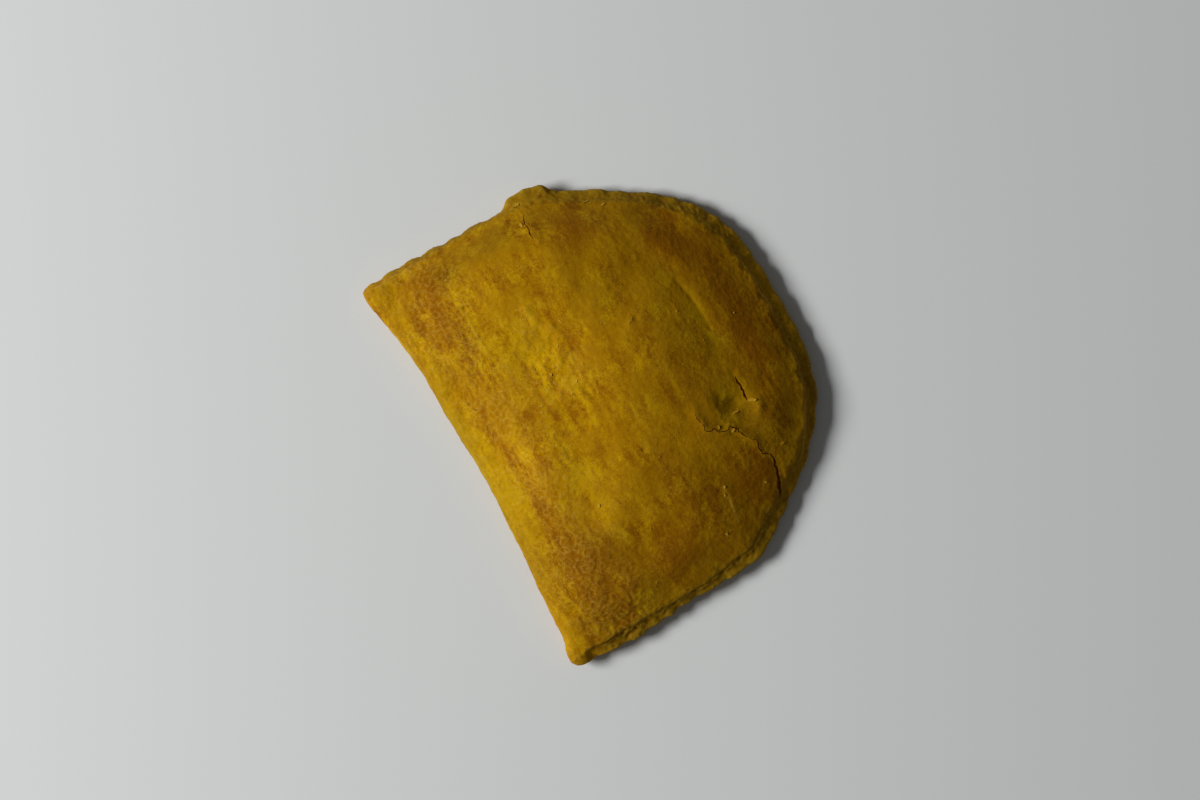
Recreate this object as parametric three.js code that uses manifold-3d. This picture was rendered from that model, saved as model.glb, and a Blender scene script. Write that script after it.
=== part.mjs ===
// A Jamaican patty: a turnover of flaky yellow pastry, baked whole.
// One sheet is folded over along a long straight edge.
// Its two layers are crimped together round the arch.
// Millimetres, +Z up. +X runs along the fold, +Y from the fold to the top of the arch.
// The origin is at the bottom centre of the patty's box.

import * as THREE from 'three';
import { mergeVertices } from 'three/addons/utils/BufferGeometryUtils.js';
import Module from 'manifold-3d';

const { clamp, degToRad, lerp, radToDeg, smoothstep } = THREE.MathUtils;

// Plan of the lid: a straight fold, two straight sides and an arch round one centre
const LID_HALF_LENGTH = 68.5;
const FOLD_Y = -53.3;
const LEFT_CORNER_DROP = 6.2;
const RIGHT_CORNER_DROP = 5.4;
const CORNER_POWER = 4;
const ARCH_CENTRE_Y = -16;
const ARCH_RISE = 70.3;
const ARCH_SIDE_POWER = 2.35;
const ARCH_TOP_POWER = 2;
const ARCH_PASSES = 12;

// Departures of the fold from a straight line: it sags outwards in places and turns in at the left corner
const FOLD_SAGS = [
  { x: -71, spread: 5, by: -2.2 },
  { x: -18, spread: 12, by: 0.45 },
  { x: 22, spread: 7, by: 0.6 },
  { x: 44, spread: 16, by: 1.9 },
];

// Departures of the hand-cut arch from its formula, by bearing from the arch's centre, 0 at the top
const ARCH_SWELLS = [
  { bearing: -58, spread: 9, by: -1.7 },
  { bearing: -25, spread: 14, by: 2.3 },
  { bearing: 26, spread: 14, by: 2 },
  { bearing: 52, spread: 9, by: -0.8 },
  { bearing: 68, spread: 6, by: 1.2 },
];

// Section of the lid: a round nose at the fold, a crown over the filling, and a fall to a thin lip at the rim
const NOSE_HEIGHT = 4.4;
const NOSE_ROUND = 3;
const NOSE_RUN = 5;
const LIP_HEIGHT = 6.4;
const CROWN = 16.4;
const FOLD_RUN = 60;
const FOLD_POWER = 0.85;

// How full the lid is towards its lip by bearing: a low power falls evenly, a high one stays level and falls late
const FULLNESS = [
  { bearing: -120, power: 5 },
  { bearing: -105, power: 5.6 },
  { bearing: -75, power: 4.6 },
  { bearing: -55, power: 3.7 },
  { bearing: -35, power: 2.8 },
  { bearing: -15, power: 2.4 },
  { bearing: 20, power: 2.3 },
  { bearing: 60, power: 2.3 },
  { bearing: 85, power: 2.5 },
  { bearing: 105, power: 3.2 },
  { bearing: 120, power: 3.4 },
];

// Relief of the lid, at places on the plan: hollows and puffed places, then low ridges along the fold
const SWELLS = [
  { x: 23, y: 29, across: 4.4, by: -1.6 },
  { x: 30.5, y: 37.2, across: 7, by: 1.3 },
  { x: -4, y: 14, across: 16, by: 1.6 },
  { x: -47, y: 12, across: 13, by: 2.4 },
  { x: -38, y: 29, across: 9, by: 1.4 },
  { x: -55, y: -13, across: 14, by: 2.2 },
  { x: -39, y: -29, across: 11, by: -1.3 },
  { x: -22, y: -18, across: 13, by: -2.2 },
  { x: -24, y: -43, across: 12, by: -1.6 },
  { x: -5, y: -46, across: 8, by: -1 },
  { x: 3, y: -20, across: 8, by: -0.8 },
  { x: 10, y: -34, across: 8, by: 1.6 },
  { x: 26, y: -12, across: 9, by: 1.4 },
  { x: 30, y: -29, across: 7, by: -1.3 },
  { x: 42, y: -41, across: 13, by: 2 },
  { x: 56, y: -29, across: 11, by: 1 },
  { x: 57, y: -13, across: 7, by: 0.9 },
  { x: 36, y: 5, across: 10, by: 0.4 },
];
const RIDGES = [
  { fromFold: 15, width: 5, by: 0.3 },
  { fromFold: 54, width: 7, by: 0.4 },
];
const RELIEF_RIM_EDGE = 0.16;
const RELIEF_FOLD_EDGE = 0.1;

// A crease along the lid, with the layer on its rim side lifted over the one on its fold side
const CREASE = {
  start: [-53, 26],
  bend: [-15.5, 38.6],
  end: [16, 32.8],
  lift: 0.4,
  sink: 0.6,
  reach: 6,
  edge: 1,
};
const CREASE_STEPS = 40;

// The rim: the lid's lip, a seam under it, and the flange of the lower layer
const SEAM_HEIGHT = 5.9;
const FLANGE_UNDER = 1.5;
const FLANGE_EDGE_ROUND = 0.4;
const UNDERSIDE_HEIGHT = 0.6;
const UNDERSIDE_INSET = 0.06;
const BASE_INSET = 0.13;
const BASE_CENTRE_Y = -6;
const CORNER_BLEND = 5;

// The underside of the nose, ring by ring below the fold line
const NOSE_RINGS = [
  { inset: 0.3, height: 3.2 },
  { inset: 1, height: 2 },
  { inset: 2.1, height: 1 },
];

// By bearing: how deep the seam lies under the lip, the flange's width, and the height of its sloping top's edge
// The flange is torn away on the left side up to a loose flap, and uneven from there to the right corner
const FLANGE = [
  { bearing: -122, seam: 0.1, width: 1.6, top: 3.8 },
  { bearing: -112, seam: 0.1, width: 1.7, top: 3.8 },
  { bearing: -96, seam: 0.1, width: 1.1, top: 3.8 },
  { bearing: -81.5, seam: 0.1, width: 0.9, top: 3.8 },
  { bearing: -77.5, seam: 0.1, width: 5.2, top: 4.5 },
  { bearing: -70.5, seam: 0.1, width: 6.2, top: 4.5 },
  { bearing: -65.5, seam: 0.1, width: 3.4, top: 3.8 },
  { bearing: -59, seam: 0.1, width: 3.9, top: 3.6 },
  { bearing: -46, seam: 0.1, width: 2.6, top: 3.6 },
  { bearing: -36, seam: 0.1, width: 3.4, top: 3.6 },
  { bearing: -15, seam: 0.1, width: 4.2, top: 3.6 },
  { bearing: 10, seam: 0.1, width: 4.6, top: 3.6 },
  { bearing: 20, seam: 0.2, width: 3.9, top: 3.6 },
  { bearing: 36, seam: 0.3, width: 3.1, top: 3.6 },
  { bearing: 45, seam: 0.4, width: 3.7, top: 3.6 },
  { bearing: 66, seam: 0.5, width: 4.6, top: 4.2 },
  { bearing: 75, seam: 0.5, width: 4.3, top: 4.4 },
  { bearing: 84, seam: 0.5, width: 2.9, top: 4.5 },
  { bearing: 90, seam: 0.5, width: 2.5, top: 4.5 },
  { bearing: 96, seam: 0.5, width: 3.5, top: 4.5 },
  { bearing: 107, seam: 0.5, width: 4.3, top: 4.5 },
  { bearing: 113, seam: 0.7, width: 3.6, top: 4.4 },
  { bearing: 119, seam: 0.5, width: 3.3, top: 4.2 },
  { bearing: 122, seam: 0.3, width: 1, top: 3.8 },
];
const FLAP = { from: -80, to: -67, ease: 2, lift: 0.9 };

// The rolled end of the fold at the right corner, a rounded lobe that the lid sinks to
const LOBE = { x: 65.5, y: -54.4, height: 4, turn: -18, halfLength: 6.2, halfWidth: 4.2, halfHeight: 2.8 };
const LOBE_DIP = 0.7;
const LOBE_DIP_REACH = 6;
const LOBE_SEGMENTS = 20;
const LOBE_RINGS = 12;

// Crimps: dents pressed into the rim at an uneven pitch
const CRIMP_PITCH = 6.6;
const CRIMP_UNEVENNESS = 0.35;
const CRIMP_SPREAD = 1.5;
const CRIMP_LIP_INSET = 0.8;
const CRIMP_LIP_DROP = 0.6;
const CRIMP_SEAM_OUT = 0.4;
const CRIMP_SEAM_DROP = 0.3;
const CRIMP_FLANGE_DROP = 0.4;
const CRIMP_EDGE_INSET = 0.7;
const CRIMP_SEED = 7;

// Cracks through the top layer, each a broken line on the plan with its widths and depth
const CRACKS = [
  {
    line: [
      [17.7, 16.2], [25.5, 16.8], [28.8, 20.5], [28.7, 24.3],
      [35.2, 29.1], [42.4, 29.9], [52.7, 28.4], [60, 26],
    ],
    width: [0.7, 2],
    depth: 2,
  },
  { line: [[14.2, 33.6], [21.9, 33], [25.4, 34.8], [29, 34]], width: [0.8, 1], depth: 1.6 },
  { line: [[23.4, 31.4], [24.6, 29.2], [25.6, 27]], width: [0.6, 0.8], depth: 1.2 },
  { line: [[-71, 2.4], [-63.7, 1.4], [-60.4, 0], [-57.6, 1.6], [-54, 0.6]], width: [1.2, 0.5], depth: 1.4 },
];
const CRACK_STEP = 1.6;
const CRACK_TIP = 0.3;
const CRACK_TIP_RUN = 0.175;
const CRACK_WANDER = 0.45;
const CRACK_HEADROOM = 2;
const CRACK_SEED = 21;

// Flakes of the top layer that stand up from the lid: curled ones at the crack, then scattered scales
const CURLED_FLAKES = [
  { x: 25.6, y: 35.6, size: 2.6, turn: 20, lift: 1.2 },
  { x: 25.2, y: 28.6, size: 2, turn: 75, lift: 0.9 },
];
const SCALE_PATCH = { x: -20, y: -15, length: 34, depth: 16, count: 14, size: 1.9, lift: 0.45 };
const SCALE_UNEVENNESS = 0.4;
const SCALE_SEED = 3;
const FLAKE_SIDES = 6;
const FLAKE_UNEVENNESS = 0.25;
const FLAKE_NARROWING = 0.7;
const FLAKE_ROOT = 0.7;
const FLAKE_ROOT_SHARE = 0.8;
const FLAKE_THICKNESS = 0.2;

// Fineness of the mesh
const COLUMNS = 80;
const ROWS = 44;
const EDGE_CROWDING = 0.4;
const FOLD_CROWDING = 1.3;
const SLIVER = 0.005;

const CRUST_COLOUR = '#b27a10';
const CRUST_ROUGHNESS = 0.72;

// The seeded source of uneven numbers
const DRAW_FACTOR = 16807;
const DRAW_MODULUS = 2147483647;
const DRAW_STEPS = 100000;

// A source of numbers from 0 to 1
function seededDraw(seed) {
  let state = seed;
  return () => {
    state = (state * DRAW_FACTOR) % DRAW_MODULUS;
    return (state % DRAW_STEPS) / DRAW_STEPS;
  };
}

// A factor that strays from 1 by up to a share of it
function uneven(draw, share) {
  return 1 + share * (2 * draw() - 1);
}

function total(list) {
  return list.reduce((sum, each) => sum + each, 0);
}

// Height of a bell of width 1, 1 at its middle
function bell(offset) {
  return Math.exp(-offset * offset);
}

function foldLine(x) {
  const sags = FOLD_SAGS.map((each) => each.by * bell((x - each.x) / each.spread));
  const drop = x < 0 ? LEFT_CORNER_DROP : RIGHT_CORNER_DROP;
  return FOLD_Y - total(sags) - drop * Math.pow(Math.abs(x) / LID_HALF_LENGTH, CORNER_POWER);
}

function bearingOf(x, y) {
  return radToDeg(Math.atan2(x, y - ARCH_CENTRE_Y));
}

// Distance of the lip from the arch's centre at a bearing: the arch in front, the straight sides behind
function lipRadius(bearing) {
  const side = Math.abs(Math.sin(degToRad(bearing))) / LID_HALF_LENGTH;
  const rise = Math.max(0, Math.cos(degToRad(bearing))) / ARCH_RISE;
  let radius = 1 / Math.max(side, rise);
  for (let pass = 0; pass < ARCH_PASSES; pass += 1) {
    const fill = Math.pow(side * radius, ARCH_SIDE_POWER) + Math.pow(rise * radius, ARCH_TOP_POWER);
    radius /= Math.pow(fill, 1 / ARCH_SIDE_POWER);
  }
  const swells = ARCH_SWELLS.map((each) => each.by * bell((bearing - each.bearing) / each.spread));
  return radius + total(swells);
}

// Share of the way from the middle of the lid to its lip, 1 at the lip
function rimShare(x, y) {
  if (y < ARCH_CENTRE_Y) return Math.abs(x) / LID_HALF_LENGTH;
  return Math.hypot(x, y - ARCH_CENTRE_Y) / lipRadius(bearingOf(x, y));
}

// A value listed by bearing, eased between its two neighbours
function byBearing(list, bearing, key) {
  const next = list.findIndex((each) => each.bearing > bearing);
  if (next === 0) return list[0][key];
  if (next === -1) return list[list.length - 1][key];
  const before = list[next - 1];
  const after = list[next];
  return lerp(before[key], after[key], smoothstep(bearing, before.bearing, after.bearing));
}

// Bearings of the crimps, one after another along the rim
function crimpBearings() {
  const draw = seededDraw(CRIMP_SEED);
  const list = [];
  let bearing = FLANGE[0].bearing;
  while (bearing < FLANGE[FLANGE.length - 1].bearing) {
    list.push(bearing);
    bearing += CRIMP_PITCH * uneven(draw, CRIMP_UNEVENNESS);
  }
  return list;
}

const CRIMPS = crimpBearings();

// How deep a crimp is pressed at a bearing, from 0 between crimps to 1
function crimpAt(bearing) {
  return CRIMPS.reduce((deepest, each) => Math.max(deepest, bell((bearing - each) / CRIMP_SPREAD)), 0);
}

const CREASE_POINTS = new THREE.QuadraticBezierCurve(
  new THREE.Vector2(...CREASE.start),
  new THREE.Vector2(...CREASE.bend),
  new THREE.Vector2(...CREASE.end),
).getPoints(CREASE_STEPS);

// The crease's step: up on its rim side, down on its fold side, fading away from it and at its ends
function creaseStep(x, y) {
  const place = new THREE.Vector2(x, y);
  const nearest = CREASE_POINTS.reduce(
    (best, point, index) => {
      const distance = point.distanceTo(place);
      return distance < best.distance ? { distance, index } : best;
    },
    { distance: Infinity, index: 0 },
  );
  const before = CREASE_POINTS[Math.max(0, nearest.index - 1)];
  const after = CREASE_POINTS[Math.min(CREASE_STEPS, nearest.index + 1)];
  const along = after.clone().sub(before);
  const offset = place.clone().sub(CREASE_POINTS[nearest.index]);
  const rimSide = along.cross(offset) > 0;
  const ends = Math.sin((Math.PI * nearest.index) / CREASE_STEPS);
  const fade = Math.exp(-nearest.distance / CREASE.reach) * smoothstep(nearest.distance, 0, CREASE.edge);
  return ends * fade * (rimSide ? CREASE.lift : -CREASE.sink);
}

function relief(x, y) {
  const fromFold = y - foldLine(x);
  const swells = SWELLS.map((each) => each.by * bell(Math.hypot(x - each.x, y - each.y) / each.across));
  const ridges = RIDGES.map((each) => each.by * bell((fromFold - each.fromFold) / each.width));
  return total(swells) + total(ridges) + creaseStep(x, y);
}

function lidHeight(x, y) {
  const foldShare = clamp((y - foldLine(x)) / FOLD_RUN, 0, 1);
  const foldRise = Math.pow(1 - (1 - foldShare) ** 2, FOLD_POWER);
  const share = Math.min(1, rimShare(x, y));
  const rimRise = 1 - Math.pow(share, byBearing(FULLNESS, bearingOf(x, y), 'power'));
  const noseShare = clamp((y - foldLine(x)) / NOSE_RUN, 0, 1);
  const nose = NOSE_HEIGHT + NOSE_ROUND * Math.sqrt(1 - (1 - noseShare) ** 2);
  const edge = lerp(nose, LIP_HEIGHT, foldRise);
  const reliefShare = smoothstep(1 - share, 0, RELIEF_RIM_EDGE) * smoothstep(foldShare, 0, RELIEF_FOLD_EDGE);
  const dip = LOBE_DIP * bell(Math.hypot(x - LOBE.x, y - LOBE.y) / LOBE_DIP_REACH);
  return edge + foldRise * CROWN * rimRise + reliefShare * relief(x, y) - dip;
}

// Spread of mesh lines from 0 to 1, closer together near both ends
function crowd(t) {
  return t - (EDGE_CROWDING * Math.sin(2 * Math.PI * t)) / (2 * Math.PI);
}

// Plan of the lid: straight lines from the fold to the arch, ruled across
function lidPlan(column, row) {
  const along = column / COLUMNS;
  const foldX = lerp(-LID_HALF_LENGTH, LID_HALF_LENGTH, crowd(along));
  const bearing = lerp(-90, 90, along);
  const radius = lipRadius(bearing);
  const arch = new THREE.Vector2(
    radius * Math.sin(degToRad(bearing)),
    ARCH_CENTRE_Y + radius * Math.cos(degToRad(bearing)),
  );
  return new THREE.Vector2(foldX, foldLine(foldX)).lerp(arch, crowd(Math.pow(row / ROWS, FOLD_CROWDING)));
}

// The lid's grid indices round its border, anticlockwise from above, from the left end of the fold
function borderIndices() {
  const at = (column, row) => row * (COLUMNS + 1) + column;
  const border = [];
  for (let column = 0; column < COLUMNS; column += 1) border.push(at(column, 0));
  for (let row = 0; row < ROWS; row += 1) border.push(at(COLUMNS, row));
  for (let column = COLUMNS; column > 0; column -= 1) border.push(at(column, ROWS));
  for (let row = ROWS; row > 0; row -= 1) border.push(at(0, row));
  return border;
}

// The rings of the rim under one border point, from the seam down to the flat base
function rimSection(place, outward, foldness) {
  const bearing = bearingOf(place.x, place.y);
  const crimp = crimpAt(bearing);
  const flange = byBearing(FLANGE, bearing, 'width') - CRIMP_EDGE_INSET * crimp;
  const flangeTop = byBearing(FLANGE, bearing, 'top');
  const flapStart = smoothstep(bearing, FLAP.from, FLAP.from + FLAP.ease);
  const flapEnd = smoothstep(bearing, FLAP.to - FLAP.ease, FLAP.to);
  const flap = FLAP.lift * flapStart * (1 - flapEnd);
  const top = flangeTop - CRIMP_FLANGE_DROP * crimp + flap;
  const closedSeam = LIP_HEIGHT - CRIMP_LIP_DROP - CRIMP_SEAM_DROP;
  const centre = new THREE.Vector2(0, BASE_CENTRE_Y);
  const seamOut = lerp(-byBearing(FLANGE, bearing, 'seam'), CRIMP_SEAM_OUT - CRIMP_LIP_INSET, crimp);
  const rimRings = [
    { out: seamOut, height: lerp(SEAM_HEIGHT, closedSeam, crimp) },
    { out: flange, height: top },
    { out: flange - FLANGE_EDGE_ROUND, height: FLANGE_UNDER + flap },
  ];
  const rings = rimRings.map((rim, ring) => {
    const nose = NOSE_RINGS[ring];
    const flat = place.clone().addScaledVector(outward, lerp(rim.out, -nose.inset, foldness));
    return [flat.x, flat.y, lerp(rim.height, nose.height, foldness)];
  });
  const under = place.clone().lerp(centre, UNDERSIDE_INSET);
  const base = place.clone().lerp(centre, BASE_INSET);
  rings.push([under.x, under.y, UNDERSIDE_HEIGHT], [base.x, base.y, 0]);
  return rings;
}

// The whole closed skin: lid, rim rings and flat base
function bodyGeometry() {
  const positions = [];
  const triangles = [];
  const plan = [];
  for (let row = 0; row <= ROWS; row += 1) {
    for (let column = 0; column <= COLUMNS; column += 1) {
      const place = lidPlan(column, row);
      plan.push(place);
      positions.push([place.x, place.y, lidHeight(place.x, place.y)]);
    }
  }
  for (let row = 0; row < ROWS; row += 1) {
    for (let column = 0; column < COLUMNS; column += 1) {
      const a = row * (COLUMNS + 1) + column;
      const b = a + COLUMNS + 1;
      triangles.push([a, a + 1, b + 1], [a, b + 1, b]);
    }
  }

  const border = borderIndices();
  const count = border.length;
  const corners = [border[0], border[COLUMNS]].map((index) => plan[index]);
  const sections = border.map((index, step) => {
    const place = plan[index];
    const back = plan[border[(step + count - 2) % count]];
    const ahead = plan[border[(step + 2) % count]];
    const outward = new THREE.Vector2(ahead.y - back.y, back.x - ahead.x).normalize();
    const fromCorner = Math.min(...corners.map((corner) => corner.distanceTo(place)));
    const pastCorner = step <= COLUMNS ? fromCorner : -fromCorner;
    const foldness = smoothstep(pastCorner, -CORNER_BLEND, CORNER_BLEND);
    return { index, place, outward, foldness };
  });

  // The lip itself is pressed in and down at each crimp
  sections.forEach(({ index, place, outward, foldness }) => {
    const crimp = crimpAt(bearingOf(place.x, place.y)) * (1 - foldness);
    const pressed = place.clone().addScaledVector(outward, -CRIMP_LIP_INSET * crimp);
    positions[index] = [pressed.x, pressed.y, positions[index][2] - CRIMP_LIP_DROP * crimp];
  });

  let upper = border;
  const ringSets = sections.map(({ place, outward, foldness }) => rimSection(place, outward, foldness));
  const ringCount = ringSets[0].length;
  for (let ring = 0; ring < ringCount; ring += 1) {
    const first = positions.length;
    ringSets.forEach((rings) => positions.push(rings[ring]));
    const lower = border.map((index, step) => first + step);
    upper.forEach((index, step) => {
      const next = (step + 1) % count;
      triangles.push([index, lower[step], lower[next]], [index, lower[next], upper[next]]);
    });
    upper = lower;
  }

  const baseOutline = upper.map((index) => new THREE.Vector2(positions[index][0], positions[index][1]));
  THREE.ShapeUtils.triangulateShape(baseOutline, []).forEach(([a, b, c]) => {
    triangles.push([upper[a], upper[c], upper[b]]);
  });
  return meshOf(positions, triangles);
}

function meshOf(positions, triangles) {
  const geometry = new THREE.BufferGeometry();
  geometry.setAttribute('position', new THREE.Float32BufferAttribute(positions.flat(), 3));
  geometry.setIndex(triangles.flat());
  return geometry;
}

// A closed prism along a line of stations, each a loop of as many points as the next
function loftGeometry(loops) {
  const sides = loops[0].length;
  const positions = loops.flat();
  const triangles = [];
  for (let loop = 0; loop < loops.length - 1; loop += 1) {
    for (let side = 0; side < sides; side += 1) {
      const a = loop * sides + side;
      const b = loop * sides + ((side + 1) % sides);
      triangles.push([a, b, b + sides], [a, b + sides, a + sides]);
    }
  }
  const last = (loops.length - 1) * sides;
  for (let side = 1; side < sides - 1; side += 1) {
    triangles.push([0, side + 1, side], [last, last + side, last + side + 1]);
  }
  return meshOf(positions, triangles);
}

// The space of one crack: a V along a wandering line, open above the lid
function crackGeometry(crack, draw) {
  const line = new THREE.CurvePath();
  for (let part = 0; part < crack.line.length - 1; part += 1) {
    const from = new THREE.Vector2(...crack.line[part]);
    const to = new THREE.Vector2(...crack.line[part + 1]);
    line.add(new THREE.LineCurve(from, to));
  }
  const steps = Math.round(line.getLength() / CRACK_STEP);
  const loops = [];
  for (let step = 0; step <= steps; step += 1) {
    const share = step / steps;
    const place = line.getPointAt(share);
    const along = line.getTangentAt(share);
    const across = new THREE.Vector2(-along.y, along.x);
    place.addScaledVector(across, CRACK_WANDER * (2 * draw() - 1));
    const taper = lerp(CRACK_TIP, 1, Math.min(1, Math.min(share, 1 - share) / CRACK_TIP_RUN));
    const half = (taper * lerp(crack.width[0], crack.width[1], share)) / 2;
    const height = lidHeight(place.x, place.y);
    const flare = half * (1 + CRACK_HEADROOM / crack.depth);
    loops.push([
      [place.x - across.x * flare, place.y - across.y * flare, height + CRACK_HEADROOM],
      [place.x, place.y, height - taper * crack.depth],
      [place.x + across.x * flare, place.y + across.y * flare, height + CRACK_HEADROOM],
    ]);
  }
  return loftGeometry(loops);
}

// One flake: a thin uneven plate rooted in the lid and lifted along one side
function flakeGeometry(flake, draw) {
  const root = [];
  const top = [];
  for (let side = 0; side < FLAKE_SIDES; side += 1) {
    const angle = degToRad(flake.turn) + (side / FLAKE_SIDES) * 2 * Math.PI;
    const reach = flake.size * uneven(draw, FLAKE_UNEVENNESS);
    const x = flake.x + reach * Math.cos(angle);
    const y = flake.y + FLAKE_NARROWING * reach * Math.sin(angle);
    const raised = flake.lift * (0.5 + 0.5 * Math.cos(angle - degToRad(flake.turn)));
    const height = lidHeight(x, y);
    const rootX = lerp(flake.x, x, FLAKE_ROOT_SHARE);
    const rootY = lerp(flake.y, y, FLAKE_ROOT_SHARE);
    root.push([rootX, rootY, height - FLAKE_ROOT]);
    top.push([x, y, height + FLAKE_THICKNESS + raised]);
  }
  return loftGeometry([root, top]);
}

function lobeGeometry() {
  const geometry = new THREE.SphereGeometry(1, LOBE_SEGMENTS, LOBE_RINGS);
  geometry.deleteAttribute('normal');
  geometry.deleteAttribute('uv');
  geometry.rotateX(Math.PI / 2);
  geometry.scale(LOBE.halfLength, LOBE.halfWidth, LOBE.halfHeight);
  geometry.rotateZ(degToRad(LOBE.turn));
  return geometry.translate(LOBE.x, LOBE.y, LOBE.height);
}

function flakes() {
  const draw = seededDraw(SCALE_SEED);
  const list = CURLED_FLAKES.map((flake) => flakeGeometry(flake, draw));
  for (let count = 0; count < SCALE_PATCH.count; count += 1) {
    const scale = {
      x: SCALE_PATCH.x + SCALE_PATCH.length * (draw() - 0.5),
      y: SCALE_PATCH.y + SCALE_PATCH.depth * (draw() - 0.5),
      size: SCALE_PATCH.size * uneven(draw, SCALE_UNEVENNESS),
      turn: 360 * draw(),
      lift: SCALE_PATCH.lift,
    };
    list.push(flakeGeometry(scale, draw));
  }
  return list;
}

const wasm = await Module();
wasm.setup();

function solidOf(geometry) {
  const merged = mergeVertices(geometry);
  return new wasm.Manifold(new wasm.Mesh({
    numProp: 3,
    vertProperties: new Float32Array(merged.attributes.position.array),
    triVerts: new Uint32Array(merged.index.array),
  }));
}

// The largest of a solid's bodies, without the crumbs and slivers that a cut leaves
function withoutCrumbs(solid) {
  const bodies = solid.simplify(SLIVER).decompose();
  return bodies.reduce((largest, body) => (body.volume() > largest.volume() ? body : largest));
}

function geometryOf(solid) {
  const mesh = solid.getMesh();
  const geometry = new THREE.BufferGeometry();
  geometry.setAttribute('position', new THREE.Float32BufferAttribute(mesh.vertProperties, 3));
  geometry.setIndex(Array.from(mesh.triVerts));
  return geometry;
}

// The patty: its body with the flakes fused on and the cracks cut in, set down on the origin
function pattyMesh() {
  const draw = seededDraw(CRACK_SEED);
  let solid = solidOf(bodyGeometry()).add(solidOf(lobeGeometry()));
  flakes().forEach((flake) => {
    solid = solid.add(solidOf(flake));
  });
  CRACKS.forEach((crack) => {
    solid = solid.subtract(solidOf(crackGeometry(crack, draw)));
  });
  const geometry = geometryOf(withoutCrumbs(solid));
  geometry.computeBoundingBox();
  const centre = geometry.boundingBox.getCenter(new THREE.Vector3());
  geometry.translate(-centre.x, -centre.y, -geometry.boundingBox.min.z);
  geometry.computeVertexNormals();
  const material = new THREE.MeshStandardMaterial({
    color: CRUST_COLOUR,
    roughness: CRUST_ROUGHNESS,
    metalness: 0,
  });
  const mesh = new THREE.Mesh(geometry, material);
  mesh.name = 'patty';
  return mesh;
}

const patty = new THREE.Group();
patty.add(pattyMesh());

export default patty;
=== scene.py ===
"""A baked Jamaican patty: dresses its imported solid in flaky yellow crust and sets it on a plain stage.

Blender works in metres. The places below are in millimetres on the patty's plan, turned to metres by MM.
+X runs along the fold, +Y from the fold to the top of the arch, and the patty rests on Z = 0.
"""

import math
import random

import bpy
import numpy as np
from bpy.props import FloatProperty, FloatVectorProperty, IntProperty, PointerProperty
from mathutils import Matrix, Vector
from mathutils.bvhtree import BVHTree


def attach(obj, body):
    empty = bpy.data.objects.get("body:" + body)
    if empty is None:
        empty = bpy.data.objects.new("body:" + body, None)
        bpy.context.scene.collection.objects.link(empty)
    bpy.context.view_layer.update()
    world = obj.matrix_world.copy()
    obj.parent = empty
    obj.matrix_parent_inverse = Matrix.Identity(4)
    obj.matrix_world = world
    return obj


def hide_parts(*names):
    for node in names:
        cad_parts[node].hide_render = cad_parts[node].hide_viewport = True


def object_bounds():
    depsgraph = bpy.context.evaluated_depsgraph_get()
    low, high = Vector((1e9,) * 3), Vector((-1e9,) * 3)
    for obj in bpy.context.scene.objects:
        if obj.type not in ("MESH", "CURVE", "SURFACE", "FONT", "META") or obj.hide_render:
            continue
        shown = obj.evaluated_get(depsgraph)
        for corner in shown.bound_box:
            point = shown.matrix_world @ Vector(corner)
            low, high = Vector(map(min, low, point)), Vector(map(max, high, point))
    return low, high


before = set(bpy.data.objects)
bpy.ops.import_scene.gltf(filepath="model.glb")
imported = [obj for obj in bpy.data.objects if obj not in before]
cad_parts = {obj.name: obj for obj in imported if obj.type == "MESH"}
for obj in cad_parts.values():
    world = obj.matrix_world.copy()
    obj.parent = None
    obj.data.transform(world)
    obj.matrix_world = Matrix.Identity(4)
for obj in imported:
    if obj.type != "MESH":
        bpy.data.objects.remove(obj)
CAD_LOW, CAD_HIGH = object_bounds()

bl_info = {
    "name": "Baked Patty",
    "version": (1, 0, 0),
    "blender": (4, 5, 0),
    "location": "View3D > Sidebar > Patty",
    "description": "Dresses the solid of a baked patty in its flaky yellow crust",
    "category": "Object",
}

MM = 0.001

# Where the plan's zero lies in the part's frame, in millimetres
PLAN_ZERO = (0.377, -0.58)

# The photograph's frame, and where its middle falls on the patty's plan
IMAGE_WIDTH = 1200
PIXELS_PER_MM = 3.097
IMAGE_MIDDLE = (-1.0, -7.65)
IMAGE_TURN = 60
RIM_HEIGHT = 5.0

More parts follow.
